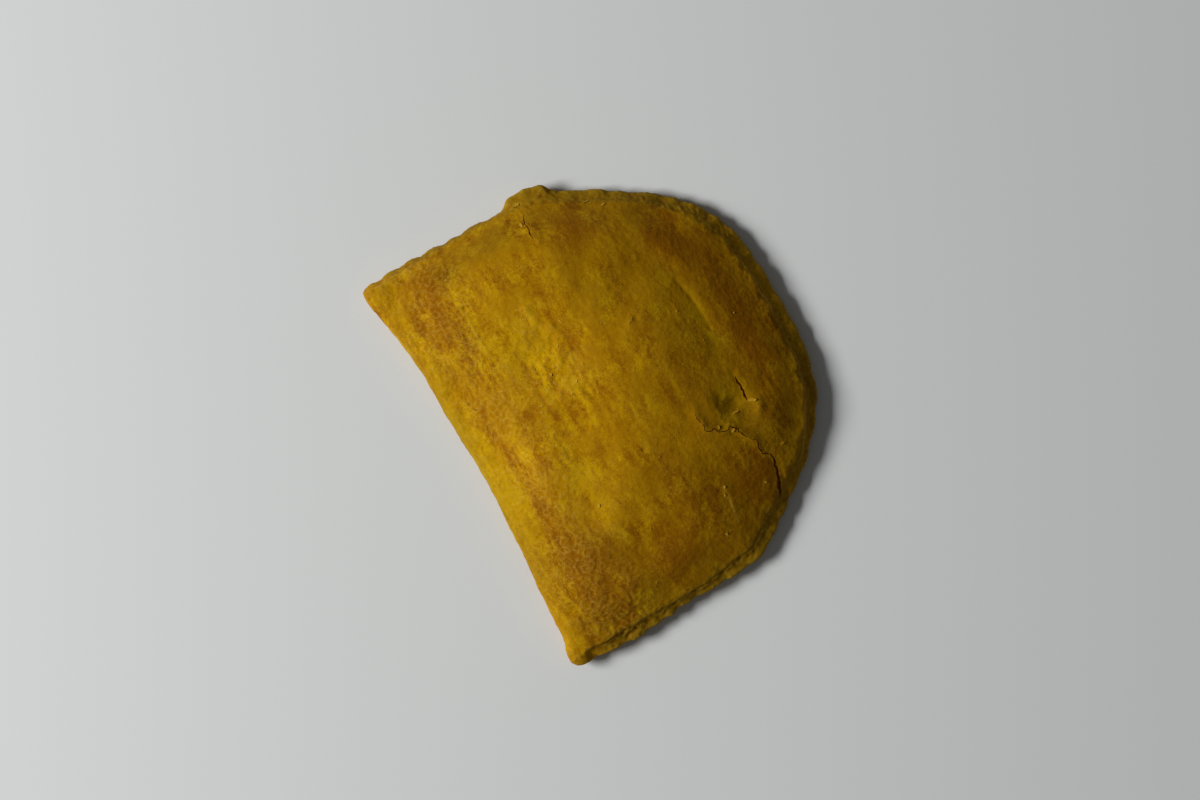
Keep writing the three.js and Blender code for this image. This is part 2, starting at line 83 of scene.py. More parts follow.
# Cracks through the top layer: a broken line on the plan, its half widths at both ends, and its depth
CRACKS = [
    {
        "line": [
            (18, 16.1), (19.8, 16), (21.3, 16.4), (22.6, 16.8),
            (23.8, 16.5), (24.9, 17.4), (25.2, 19), (27.3, 20.3),
        ],
        "half_widths": (0.12, 0.2),
        "depth": 0.45,
    },
    {
        "line": [
            (27, 20.1), (27.9, 22.2), (26.9, 24.3), (28.6, 25.6), (29.8, 25.9), (32, 26.8), (34.1, 28.2),
        ],
        "half_widths": (0.24, 0.15),
        "depth": 0.45,
    },
    {
        "line": [
            (33.9, 28), (35.1, 29.2), (36.6, 28.9), (38.4, 28.6), (39.7, 28.9), (40.4, 30), (41.3, 30.9),
        ],
        "half_widths": (0.15, 0.28),
        "depth": 0.5,
    },
    {
        "line": [
            (41, 30.8), (43, 31.2), (45.3, 30.7), (47.6, 30.1), (49.5, 29.5), (52.2, 28.3), (55.3, 27.2),
        ],
        "half_widths": (0.28, 0.6),
        "depth": 0.5,
    },
    {
        "line": [(13.9, 33.5), (16.8, 33.4), (19.4, 33.4), (22.4, 32.9)],
        "half_widths": (0.28, 0.55),
        "depth": 0.5,
    },
    {
        "line": [(-65.7, 0.7), (-61.6, -0.4), (-57.6, -0.4), (-55.9, -0.6)],
        "half_widths": (0.14, 0.18),
        "depth": 0.6,
    },
    {"line": [(-21.9, -45.3), (-21, -44.8), (-20.2, -45.2)], "half_widths": (0.12, 0.12), "depth": 0.4},
    {"line": [(-18.9, -44.4), (-18.1, -43.8), (-17.7, -42.9)], "half_widths": (0.12, 0.12), "depth": 0.4},
    {"line": [(-18.6, 14.8), (-17.6, 13.6), (-17.2, 12.4)], "half_widths": (0.1, 0.12), "depth": 0.4},
]
# How a crack's line wanders: its steps, jogs and uneven width, its width at the tips, the reach of its lips
CRACK_STEP = 0.8
CRACK_JOG = 0.28
CRACK_UNEVEN = (0.75, 1.25)
CRACK_TIP = 0.35
CRACK_LIP_REACH = 0.9
# The wider cracks of the solid, closed before the fine ones are cut: the reach that is smoothed, then filled
SOLID_CRACKS = [
    [
        (16.8, 16.7), (24.6, 17.3), (27.9, 21), (27.8, 24.8),
        (34.3, 29.6), (41.5, 30.4), (51.8, 28.9), (59.1, 26.5),
    ],
    [(13.3, 34.1), (21, 33.5), (24.5, 35.3), (28.1, 34.5)],
    [(22.5, 31.9), (23.7, 29.7), (24.7, 27.5)],
    [(-71.9, 2.9), (-64.6, 1.9), (-61.3, 0.5), (-58.5, 2.1), (-54.9, 1.1)],
]
CLOSED_REACH = (3.2, 1.6)
FILLED_REACH = 1.4
# Hollows that the top layer sinks to beside its cracks: a broken line on the plan, its reach and its depth
HOLLOWS = [
    {"line": [(41, 30.8), (45.3, 30.7), (49.5, 29.5), (55.3, 27.2), (58, 26)], "reach": 1.2, "depth": 0.25},
    {"line": [(13, 33.5), (21.7, 32.9)], "reach": 1.2, "depth": 0.35},
    {"line": [(-22.5, 32.2), (-14.9, 33.9), (-9, 34.2), (-3.4, 34.4)], "reach": 0.8, "depth": 0.17},
    {"line": [(17.8, 25.6), (20.6, 27.8), (22.6, 29)], "reach": 2.4, "depth": 0.4},
]
# Edges where one layer ends on the next: a broken line, whose left side stands up by a height that fades away
LAYER_EDGES = [
    {
        "line": [(41.3, 13.1), (44, 12), (46.5, 12.5), (49, 12.2), (52, 11.6), (56, 11.2)],
        "height": 0.14,
        "fade": 1.2,
        "pale": 0.4,
    },
    {
        "line": [
            (50.6, 36.4), (45.9, 40.8), (40.7, 44.6), (32.9, 49.1),
            (27, 51.8), (21.1, 53.3), (12, 54.5), (8, 54),
        ],
        "height": 0.4,
        "fade": 1.4,
        "pale": 0.35,
    },
    {
        "line": [(9, 55), (3.6, 54.2), (-1, 55.2), (-6, 54.4), (-12.7, 54.8), (-19, 53.6), (-26, 53.2)],
        "height": 0.4,
        "fade": 1.4,
        "pale": 0.35,
    },
    {"line": [(-29, -30.4), (-38, -30.8), (-48, -30.5)], "height": 0.25, "fade": 3, "pale": 0.0},
    {"line": [(17, -24), (9, -25.5), (0, -26)], "height": 0.25, "fade": 4, "pale": 0.0},
]
# The distances from its line over which a layer's edge rises, and the reach of its pale line
LAYER_EDGE_FOOT = (-0.3, 0.5)
LAYER_EDGE_WIDTH = 0.4
# The band of fine wrinkles along the fold
WRINKLED_BAND = {"from_fold": 15, "reach": 13}
# The soft crease across the arch: its line on the plan and the reach over which it is rounded off
CREASE = {
    "line": [(-54, 26.6), (-37, 30.2), (-23.6, 33.6), (-14.9, 35.2), (-3.4, 36), (8, 35), (15, 33.5)],
    "reach": 6,
}
# Small pits of the lid: a place on the plan, its reach and its depth
PITS = [
    {"at": (-47.8, -30.6), "reach": 0.8, "depth": 0.7},
    {"at": (19.6, -3.6), "reach": 0.6, "depth": 0.5},
    {"at": (-26.4, -49), "reach": 1.6, "depth": 0.5},
    {"at": (-18, 15.1), "reach": 0.9, "depth": 0.35},
    {"at": (-30, 13.1), "reach": 0.9, "depth": 0.3},
]

# Heights of the crust over which a part of it sets in, in millimetres
SKIN_FROM = (0.4, 1.2)
ROUGH_FROM = (0.3, 1.5)
CLOSED_FROM = (5.6, 7)
FILLED_FROM = (5, 7)
SMOOTH_LID_FROM = (6.8, 9)
LID_FROM = (6.2, 9.5)
BASE_BELOW = (0.5, 0.2)

# The fold, rim, seam and far side, which lies in shade and where the rim is painted lighter: ranges of
# height, of X and Y, and of distance from the fold's line
FOLD_LINE = -53.5
FOLD_EDGE = {"within": (9, 4), "above": (1, 3)}
RIM = {"past_fold": (5, 12), "below": (9, 6.5)}
DULL_RIM = {"past_fold": (3, 8), "below": (8, 6)}
SEAM = {"past_fold": (4, 9), "below": (9, 7), "above": (1.5, 2.5), "rounds": 24, "depth": 0.15}
SHADED_FAR_SIDE = {"past_x": (-45, -25), "past_y": (15, 30)}
DULL_FOLD_REACH = 3
# Small edges that dry out: the rounds of smoothing that find them and the height of a full one
DRY_EDGE = {"rounds": 8, "height": 0.12}
# The height above the smooth skin at which a place counts as fully raised
FULLY_RAISED = 0.4

# How browned the crust is from 0 to 1, and its underside
USUAL_BROWNING = 0.505
UNDERSIDE_BROWNING = 0.8
# Zones of the lid, each a place on the plan, its reach along X and Y, and how much more or less it is browned
TOASTED = [
    {"at": (-2, 44), "reach": (26, 7), "by": 0.6},
    {"at": (-36, 37), "reach": (10, 7), "by": 0.5},
    {"at": (46, 23), "reach": (10, 8), "by": 0.5},
    {"at": (53, -12), "reach": (8, 9), "by": 0.55},
    {"at": (46, -38), "reach": (15, 10), "by": 0.55},
    {"at": (-54, 12), "reach": (7, 8), "by": 0.45},
    {"at": (-51, -40), "reach": (12, 7), "by": 0.5},
    {"at": (41, 5), "reach": (11, 9), "by": 0.25},
    {"at": (7, 19), "reach": (8, 5), "by": 0.2},
    {"at": (-23, -17), "reach": (12, 7), "by": -0.3},
    {"at": (-31, -25), "reach": (9, 6), "by": -0.25},
    {"at": (18, -26), "reach": (10, 6), "by": -0.35},
    {"at": (-6, -7), "reach": (40, 5), "by": 0.1},
    {"at": (19, 28), "reach": (6, 5), "by": -0.35},
    {"at": (-8, 34), "reach": (14, 4), "by": -0.3},
    {"at": (10, -46), "reach": (14, 5), "by": -0.3},
]
# The browned band along the fold, and the yellower edge of the fold itself
TOASTED_BAND = {"from_fold": 15, "reach": 5, "by": 0.14}
YELLOW_EDGE = {"from_fold": 1, "reach": 5, "middle": -6, "spread": 38, "by": -0.5}

# Zones painted darker, or lighter where the share is negative: partly the crust's own tone, partly painted
# shade on slopes that face the lamp and painted light on the far slopes that lie in shade
TONE_AND_PAINTED_LIGHT_ZONES = [
    {"at": (36, -44), "reach": (11, 13), "by": 0.24},
    {"at": (58, -40), "reach": (8, 10), "by": 0.15},
    {"at": (-62, -17), "reach": (6, 20), "by": 0.3},
    {"at": (-50, 35), "reach": (8, 9), "by": 0.28},
    {"at": (-56, 20), "reach": (6, 7), "by": 0.15},
    {"at": (25, 31), "reach": (6, 6), "by": 0.3},
    {"at": (16, 51), "reach": (12, 4), "by": 0.2},
    {"at": (-60, -31), "reach": (5, 5), "by": 0.15},
    {"at": (6, 41), "reach": (24, 5), "by": -0.22},
    {"at": (-6, 56), "reach": (18, 4), "by": -0.25},
    {"at": (32, 42), "reach": (9, 4), "by": -0.16},
    {"at": (26, 7), "reach": (18, 6), "by": -0.11},
    {"at": (40, -28), "reach": (7, 6), "by": 0.18},
    {"at": (-14, 10), "reach": (16, 6), "by": -0.14},
    {"at": (8, -38), "reach": (24, 6), "by": -0.06},
]

# The scaly patch of the lid, where the top layer has broken into small pale flakes
SCALY_PATCH = {"at": (-20, -16), "reach": (17, 9)}

# Curled flakes that stand up from the lid: place, width and length, bearing of the raised side, and tip
CURLED_FLAKES = [
    {"at": (23.2, 34.4), "size": (1.2, 4), "turn": 330, "tip": 14},
    {"at": (23.9, 27.8), "size": (1.1, 3.6), "turn": 0, "tip": 26},
    {"at": (28.6, 24.2), "size": (0.9, 2.2), "turn": 20, "tip": 14},
    {"at": (25.4, 20.6), "size": (0.9, 2), "turn": 70, "tip": 12},
    {"at": (40.2, 36.1), "size": (0.8, 2.6), "turn": 0, "tip": 8},
    {"at": (48.4, 25.1), "size": (0.9, 1.3), "turn": 120, "tip": 8},
    {"at": (42.9, 12.8), "size": (0.8, 1.6), "turn": 60, "tip": 8},
    {"at": (45.3, 11.7), "size": (0.9, 1.5), "turn": 30, "tip": 8},
    {"at": (-69, 0.5), "size": (1.4, 2.4), "turn": 350, "tip": 10},
    {"at": (-67.9, 8.3), "size": (1.2, 3.2), "turn": 340, "tip": 8},
    {"at": (-62.1, -1.6), "size": (1, 3.4), "turn": 100, "tip": 8},
    {"at": (-58.7, 20.3), "size": (1.2, 2.4), "turn": 340, "tip": 8},
    {"at": (-55, 24.6), "size": (1, 2), "turn": 20, "tip": 8},
    {"at": (27.9, -24.8), "size": (1.1, 1.8), "turn": 40, "tip": 8},
    {"at": (56.5, 6), "size": (0.9, 1.6), "turn": 60, "tip": 8},
]
# How far the flakes and scales are curled, in degrees, and how far a blank is lifted, as a share of its width
FLAKE_CURL = 48
SCALE_CURL = 30
LIFTS = {"flake": 0.12, "scale": -0.06, "crumb": 0.05}
# Small scales and crumbs: their sizes, and the middle and reach of each place where they are scattered
SCALES = {
    "width": (0.5, 0.9),
    "length": (1.6, 3.6),
    "bearing": (80, 30),
    "tip": (0, 4),
    "in_patch": (SCALY_PATCH["at"], (11, 5.5)),
    "elsewhere": ((-5, -8), (40, 28)),
}
CRUMBS = {"width": (0.3, 0.6), "length_to_width": 1.3, "scattered": ((0, -5), (45, 32))}
# The part of the lid that they keep to, below an arch that falls off with the square of X
SCATTER_LIMITS = {"half_length": 62, "fold_side": -48, "arch_top": 50, "arch_fall": 0.011}
# Seeds of the random draws
SEEDS = {"cracks": 5, "flakes": 11, "scales": 12, "crumbs": 13}


def length_property(name, description, millimetres, **limits):
    """A size that a user may change."""
    default = millimetres * MM
    return FloatProperty(name=name, description=description, default=default, unit="LENGTH", **limits)


def colour_property(name, description, default):
    """A colour that a user may change."""
    return FloatVectorProperty(name=name, description=description, default=default, subtype="COLOR")


class PattySizes(bpy.types.PropertyGroup):
    """Sizes of the crust's mesh and relief, and counts of its flakes."""

    voxel: length_property(
        "Mesh fineness",
        "Edge of the faces that the crust is remeshed to",
        0.54,
        min=0.3 * MM,
    )
    puff: length_property("Puffs", "Height of the soft unevenness of the lid", 0.35)
    wrinkle: length_property(
        "Wrinkles",
        "Height of the fine wrinkles of the crust, deepest in a band along the fold",
        0.22,
    )
    grain: length_property("Grain", "Height of the crust's finest crumb", 0.08)
    layers: length_property(
        "Layers",
        "Height of the broken steps between the pastry's layers in the scaly patch",
        0.4,
    )
    rim: length_property("Rim", "Height of the broken layers along the rim", 0.35)
    crack_lip: length_property("Crack lip", "How far the crust stands up along a crack", 0.15)
    crack_fill: length_property(
        "Crack fill",
        "How far the closed cracks of the solid are filled before they are cut again",
        0.35,
    )
    fold_puff: length_property("Fold puffs", "Height of the unevenness along the fold's edge", 0.7)
    seam_fill: length_property("Seam fill", "How far the seam under the lip is filled", 0.3)
    seam_tear: length_property("Seam tear", "Height of the torn places of the seam", 0.9)
    faces_kept: FloatProperty(
        name="Faces kept",
        description="Share of the crust's faces that are left when those of the flat base are thinned",
        default=0.74,
        min=0.0,
        max=1.0,
    )
    scales: IntProperty(
        name="Scales",
        description="Number of small scales of the top layer",
        default=90,
        min=1,
    )
    crumbs: IntProperty(
        name="Crumbs",
        description="Number of crumbs that stick to the crust",
        default=30,
        min=1,
    )


class PattyColours(bpy.types.PropertyGroup):
    """Colours of the crust, its cracks and flakes, and the floor."""

    yolk: colour_property("Yolk yellow", "Crust that the oven has hardly browned", (0.46, 0.26, 0.002))
    golden: colour_property("Golden", "Crust browned to the usual degree", (0.39, 0.188, 0.002))
    toasted: colour_property("Toasted", "The most browned crust", (0.3, 0.113, 0.002))
    pale: colour_property("Pale flake", "Thin dry flakes of the top layer", (0.58, 0.36, 0.05))
    # The same colour also paints shade into the crust's pockets and pores
    inside: colour_property("Inside of a crack", "Moist pastry inside the cracks", (0.33, 0.092, 0.004))
    rim: colour_property("Rim", "The thin, dull pastry of the crimped rim", (0.275, 0.162, 0.006))
    floor: colour_property("Floor", "The plain pale floor", (0.78, 0.8, 0.79))


class PattyLight(bpy.types.PropertyGroup):
    """Studio light and camera."""

    key_power: FloatProperty(
        name="Key power",
        description="Power of the large soft light at the fold's side, in watts",
        default=45.0,
    )
    key_width: FloatProperty(
        name="Key width",
        description="Width of the large soft light",
        default=0.95,
        unit="LENGTH",
    )
    key_tall: FloatProperty(
        name="Key height",
        description="Height of the large soft light from its lower to its upper edge",
        default=0.5,
        unit="LENGTH",
    )
    key_distance: FloatProperty(
        name="Key distance",
        description="Distance of the large soft light",
        default=2.0,
        unit="LENGTH",
    )
    key_bearing: FloatProperty(
        name="Key bearing",
        description="Direction of the large soft light on the plan, from +X",
        default=math.radians(242),
        subtype="ANGLE",
    )
    key_height: FloatProperty(
        name="Key elevation",
        description="Height of the large soft light above the horizon",
        default=math.radians(31.5),
        subtype="ANGLE",
    )
    ambient: FloatProperty(
        name="Ambient",
        description="Brightness of the even light from all round",
        default=0.078,
    )
    lens: FloatProperty(
        name="Lens",
        description="Focal length in millimetres on a 36 mm wide sensor",
        default=85.0,
    )


# Small helpers for objects and modifiers


def choose(*objects):
    """Selects these objects alone, the first of them active."""
    bpy.ops.object.select_all(action="DESELECT")
    for each in objects:
        each.select_set(True)
    bpy.context.view_layer.objects.active = objects[0]


def apply_modifier(piece, kind, **values):
    """Adds a modifier with these values and applies it."""
    modifier = piece.modifiers.new(kind.title(), kind)
    for name, value in values.items():
        setattr(modifier, name, value)
    choose(piece)
    bpy.ops.object.modifier_apply(modifier=modifier.name)


def coordinates(piece):
    """The piece's vertices as an array of rows, in metres."""
    flat = np.empty(3 * len(piece.data.vertices), np.float32)
    piece.data.vertices.foreach_get("co", flat)
    return flat.reshape(-1, 3).astype(float)


def vertex_normals(piece):
    flat = np.empty(3 * len(piece.data.vertices), np.float32)
    piece.data.vertices.foreach_get("normal", flat)
    return flat.reshape(-1, 3).astype(float)


def convexity(piece, rounds):
    """How far each vertex stands out from its smoothed surroundings, along its normal, in metres."""
    points = coordinates(piece)
    ends = np.empty(2 * len(piece.data.edges), np.int32)
    piece.data.edges.foreach_get("vertices", ends)
    first, second = ends.reshape(-1, 2).T
    count = len(points)
    neighbours = np.bincount(first, minlength=count) + np.bincount(second, minlength=count)
    smooth = points.copy()
    for _ in range(rounds):
        for axis in range(3):
            values = smooth[:, axis]
            total = np.bincount(first, values[second], count) + np.bincount(second, values[first], count)
            smooth[:, axis] = 0.5 * values + 0.5 * total / np.maximum(neighbours, 1)
    return np.sum((points - smooth) * vertex_normals(piece), axis=1)


def paint_weights(piece, name, weights):
    """A vertex group painted with one weight for each vertex."""
    group = piece.vertex_groups.new(name=name)
    for index in np.flatnonzero(weights > 0.004):
        group.add([int(index)], float(min(1.0, weights[index])), "REPLACE")
    return name


def paint_values(piece, name, values):
    """A named value for each vertex, for the piece's material to read."""
    attribute = piece.data.attributes.new(name, "FLOAT", "POINT")
    attribute.data.foreach_set("value", values.astype(np.float32))


def on_plan(points):
    """Points of the part's frame in metres as places on the plan, with their height, in millimetres."""
    return points / MM - np.array((*PLAN_ZERO, 0.0))


def bell(offset):
    return np.exp(-offset * offset)


def zone(places, at, reach):
    """1 at a zone's middle on the plan, falling to nothing outside its reach. Places are in millimetres."""
    return bell(np.hypot((places[:, 0] - at[0]) / reach[0], (places[:, 1] - at[1]) / reach[1]))


def sum_of_zones(places, zones):
    return sum(each["by"] * zone(places, each["at"], each["reach"]) for each in zones)


def beside_stretch(places, start, end):
    """Distance to a straight stretch, the side of it, and the share of the way along it, for each place."""
    start = np.array(start, float)
    along = np.array(end, float) - start
    offset = places[:, :2] - start
    share = np.clip(offset @ along / (along @ along), 0, 1)
    distance = np.hypot(*(offset - share[:, None] * along).T)
    side = np.sign(along[0] * offset[:, 1] - along[1] * offset[:, 0])
    return distance, side, share


def distance_to_lines(places, *lines):
    """Distance on the plan from each place to the nearest of some broken lines, all in millimetres."""
    stretches = [ends for line in lines for ends in zip(line, line[1:])]
    return np.min([beside_stretch(places, *ends)[0] for ends in stretches], axis=0)


def beside_line(places, line):
    """Distance to a broken line, positive on its left, and the share of the way along it, for each place."""
    nearest = np.full(len(places), np.inf)
    signed = np.zeros(len(places))
    share_along = np.zeros(len(places))
    for index, ends in enumerate(zip(line, line[1:])):
        distance, side, share = beside_stretch(places, *ends)
        closer = distance < nearest
        nearest[closer] = distance[closer]
        signed[closer] = (side * distance)[closer]
        share_along[closer] = (index + share[closer]) / (len(line) - 1)
    return signed, share_along


def fading_ends(share):
    """1 along the middle of a line and nothing at its ends, for shares of the way along it."""
    return np.sin(np.pi * share) ** 0.5


def ease(value, start, end):
    share = np.clip((value - start) / (end - start), 0, 1)
    return share * share * (3 - 2 * share)


def skin_of(piece):
    """The piece's surface, for finding places on it."""
    return BVHTree.FromObject(piece, bpy.context.evaluated_depsgraph_get())


def place_on(skin, x, y):
    """The point and normal of the skin under a place on the plan in millimetres."""
    high = Vector(((x + PLAN_ZERO[0]) * MM, (y + PLAN_ZERO[1]) * MM, 2 * CAD_HIGH.z))
    point, normal, _, _ = skin.ray_cast(high, Vector((0, 0, -1)))
    if point is None:
        raise RuntimeError(f"nothing lies under ({x:.1f}, {y:.1f}) on the plan")
    return point, normal


def finish_piece(piece, material):
    """Gives a piece its material, body and slot."""
    piece.data.materials.clear()
    piece.data.materials.append(material)
    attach(piece, "root")


# Shader nodes


def add_node(tree, kind, inputs=None, **settings):
    """A shader node with its settings, and its inputs set to values or linked to sockets."""
    node = tree.nodes.new(kind)
    for name, value in settings.items():
        setattr(node, name, value)
    for name, value in (inputs or {}).items():
        if isinstance(value, bpy.types.NodeSocket):
            tree.links.new(value, node.inputs[name])
        else:
            node.inputs[name].default_value = value
    return node


def calculate(tree, operation, first, second=0.0, third=0.0, limit=False):
    inputs = {0: first, 1: second, 2: third}
    return add_node(tree, "ShaderNodeMath", inputs, operation=operation, use_clamp=limit).outputs[0]


def blend_colours(tree, share, first, second, kind="MIX"):
    node = add_node(tree, "ShaderNodeMix", data_type="RGBA", blend_type=kind)
    for name, value in (("Factor_Float", share), ("A_Color", first), ("B_Color", second)):
        socket = next(each for each in node.inputs if each.identifier == name)
        if isinstance(value, bpy.types.NodeSocket):
            tree.links.new(value, socket)
        else:
            socket.default_value = value
    return next(each for each in node.outputs if each.identifier == "Result_Color")


def noise(tree, place, size, detail=3.0, roughness=0.55):
    """Soft noise whose grains are about this size in metres."""
    inputs = {"Vector": place, "Scale": 1 / size, "Detail": detail, "Roughness": roughness}
    return add_node(tree, "ShaderNodeTexNoise", inputs).outputs["Fac"]


def spread(tree, value, low, high):
    """Stretches the values from low to high over 0 to 1."""
    inputs = {"Value": value, "From Min": low, "From Max": high}
    return add_node(tree, "ShaderNodeMapRange", inputs).outputs["Result"]


def opaque(colour):
    return (*colour, 1.0)


def new_group(name, inputs, outputs):
    """An empty shader node group with named sockets, and its input and output nodes."""
    group = bpy.data.node_groups.new(name, "ShaderNodeTree")
    for socket, kind in inputs.items():
        group.interface.new_socket(socket, in_out="INPUT", socket_type=f"NodeSocket{kind}")
    for socket, kind in outputs.items():
        group.interface.new_socket(socket, in_out="OUTPUT", socket_type=f"NodeSocket{kind}")
    return group, group.nodes.new("NodeGroupInput"), group.nodes.new("NodeGroupOutput")


def drawn_out(tree, place, share):
    """A place whose X counts for less, so that a pattern is drawn out along the fold."""
    inputs = {0: place, 1: (share, 1, 1)}
    return add_node(tree, "ShaderNodeVectorMath", inputs, operation="MULTIPLY").outputs[0]


def sum_of(tree, parts):
    """The sum of noises about their middle, each times its weight."""
    result = 0.0
    for value, weight in parts:
        result = calculate(tree, "MULTIPLY_ADD", calculate(tree, "SUBTRACT", value, 0.5), weight, result)
    return result


def some_cells(tree, place, size, share, edges):
    """Spots in some of the cells of about this size, fading between two distances from a cell's middle."""
    cells = add_node(tree, "ShaderNodeTexVoronoi", {"Vector": place, "Scale": 1 / size})
    kept = calculate(tree, "LESS_THAN", calculate(tree, "FRACT", cells.outputs["Color"]), share)
    return calculate(tree, "MULTIPLY", kept, spread(tree, cells.outputs["Distance"], *edges))


def crumb_grain_group():
    """The crust's mottling in browning and in light, pale flecks, pores whose small pits the crust darkens as
    painted shade, and a height for bump.
    """
    outputs = {"Mottle": "Float", "Light": "Float", "Flecks": "Float", "Pores": "Float", "Height": "Float"}
    group, given, result = new_group("Pastry crumb", {"Place": "Vector"}, outputs)
    place = given.outputs["Place"]
    patches = noise(group, place, 8 * MM, 4, 0.6)
    blotches = noise(group, drawn_out(group, place, 0.5), 3.2 * MM, 2)
    streaks = noise(group, drawn_out(group, place, 0.22), 1.8 * MM, 3)
    grain = noise(group, place, 1.4 * MM, 3, 0.6)
    fine = noise(group, place, 0.5 * MM, 2, 0.5)
    bands = noise(group, drawn_out(group, place, 0.12), 5 * MM, 2)
    uneven = spread(group, noise(group, place, 11 * MM, 2), 0.38, 0.62)
    uneven = calculate(group, "ADD", uneven, 0.4)
    large = ((patches, -0.9), (bands, -0.9), (blotches, -1.1))
    small = ((streaks, -0.7), (grain, -0.9), (fine, -0.8))
    mottle = sum_of(group, large + small)
    mottle = calculate(group, "MULTIPLY", mottle, uneven)
    light = sum_of(group, ((bands, 0.3), (blotches, 0.3), (streaks, 0.25), (grain, 0.25), (fine, 0.35)))
    light = calculate(group, "MULTIPLY_ADD", light, uneven, 1.0)
    ridges = calculate(group, "ABSOLUTE", calculate(group, "SUBTRACT", noise(group, place, 1.6 * MM, 2), 0.5))
    flecks = calculate(group, "MULTIPLY", spread(group, ridges, 0.04, 0.0), spread(group, patches, 0.42, 0.6))
    pores = some_cells(group, place, 2.1 * MM, 0.3, (0.24, 0.06))
    height = sum_of(group, ((grain, 1.0), (fine, 0.5)))
    height = calculate(group, "MULTIPLY_ADD", pores, -0.3, height)
    made = {"Mottle": mottle, "Light": light, "Flecks": flecks, "Pores": pores, "Height": height}
    for name, socket in made.items():
        group.links.new(socket, result.inputs[name])
    return group


def browning_group(colours):
    """The pastry's colour at a degree of browning from 0 to 1."""
    group, given, result = new_group("Pastry browning", {"Browning": "Float"}, {"Colour": "Color"})
    ramp = add_node(group, "ShaderNodeValToRGB", {"Fac": given.outputs["Browning"]})
    stops = ramp.color_ramp.elements
    stops[0].color = opaque(colours.yolk)
    stops[1].color = opaque(colours.toasted)
    middle = stops.new(0.5)
    middle.color = opaque(colours.golden)
    group.links.new(ramp.outputs["Color"], result.inputs["Colour"])
    return group


def shared_group(name, make):
    """The node group of that name, made the first time that it is asked for."""
    return bpy.data.node_groups.get(name) or make()


def object_place(tree):
    return add_node(tree, "ShaderNodeTexCoord").outputs["Object"]


def new_material(name):
    """A material with its Principled shader and the crust's crumb."""
    material = bpy.data.materials.new(name)
    material.use_nodes = True
    tree = material.node_tree
    crumb_group = shared_group("Pastry crumb", crumb_grain_group)
    crumb = add_node(tree, "ShaderNodeGroup", node_tree=crumb_group)
    tree.links.new(object_place(tree), crumb.inputs["Place"])
    return material, tree, tree.nodes["Principled BSDF"], crumb


def browned(tree, colours, degree):
    make = shared_group("Pastry browning", lambda: browning_group(colours))
    return add_node(tree, "ShaderNodeGroup", {"Browning": degree}, node_tree=make).outputs["Colour"]


def painted(tree, name):
    return add_node(tree, "ShaderNodeAttribute", attribute_name=name).outputs["Fac"]


def add_bump(tree, shader, height, strength, distance):
    bump = add_node(tree, "ShaderNodeBump", {"Strength": strength, "Distance": distance, "Height": height})
    tree.links.new(bump.outputs["Normal"], shader.inputs["Normal"])


def crust_material(colours):
    """Baked crust, browned in zones and patches, with zones of painted light and shade, dry edges, pale
    flecks, pores and pockets darkened as painted shade, and a fine crumb.
    """
    material, tree, shader, crumb = new_material("baked_crust")
    rough = calculate(tree, "MULTIPLY_ADD", painted(tree, "scaly"), 0.6, 0.9)
    degree = calculate(tree, "MULTIPLY_ADD", crumb.outputs["Mottle"], rough, painted(tree, "browning"))
    degree = calculate(tree, "MULTIPLY_ADD", painted(tree, "raised"), 0.05, degree, limit=True)
    colour = browned(tree, colours, degree)
    # The rim's own dull colour, blended in less on the far side that lies in shade: painted light
    colour = blend_colours(tree, painted(tree, "dull_rim_and_painted_light"), colour, opaque(colours.rim))
    # The mottling's lightness less the zones' share: painted shade where the share is positive, painted light
    # where it is negative
    light = calculate(tree, "SUBTRACT", crumb.outputs["Light"], painted(tree, "tone_and_painted_light"))
    colour = blend_colours(tree, 1.0, colour, light, "MULTIPLY")

    scaly = calculate(tree, "MULTIPLY_ADD", painted(tree, "scaly"), 0.42, 0.12)
    flecks = calculate(tree, "MULTIPLY", crumb.outputs["Flecks"], scaly)
    colour = blend_colours(tree, flecks, colour, opaque(colours.pale))
    # Painted shade: the pores' small pits are darkened with the crack-inside colour
    pores = calculate(tree, "MULTIPLY", crumb.outputs["Pores"], 0.25)
    colour = blend_colours(tree, pores, colour, opaque(colours.inside))
    colour = blend_colours(tree, painted(tree, "dry_edge"), colour, opaque(colours.pale))
    # Painted shade: the hollow pockets take the crack-inside colour
    colour = blend_colours(tree, painted(tree, "painted_pocket_shade"), colour, opaque(colours.inside))
    tree.links.new(colour, shader.inputs["Base Color"])

    shader.inputs["Roughness"].default_value = 0.62
    shader.inputs["Specular IOR Level"].default_value = 0.05
    shader.inputs["Specular Tint"].default_value = opaque(colours.golden)
    add_bump(tree, shader, crumb.outputs["Height"], 0.5, 0.2 * MM)
    return material


def flake_material(colours):
    """Thin pale flakes and crumbs of the top layer."""
    material, tree, shader, crumb = new_material("pale_flake")
    patches = spread(tree, noise(tree, object_place(tree), 2.2 * MM, 2), 0.35, 0.65)
    tone = calculate(tree, "MULTIPLY_ADD", patches, 0.5, 0.08)
    crust = browned(tree, colours, calculate(tree, "ADD", crumb.outputs["Mottle"], 0.4))
    colour = blend_colours(tree, tone, crust, opaque(colours.pale))
    tree.links.new(colour, shader.inputs["Base Color"])
    shader.inputs["Roughness"].default_value = 0.7
    shader.inputs["Specular IOR Level"].default_value = 0.05
    shader.inputs["Specular Tint"].default_value = opaque(colours.golden)
    add_bump(tree, shader, crumb.outputs["Height"], 0.4, 0.15 * MM)
    return material


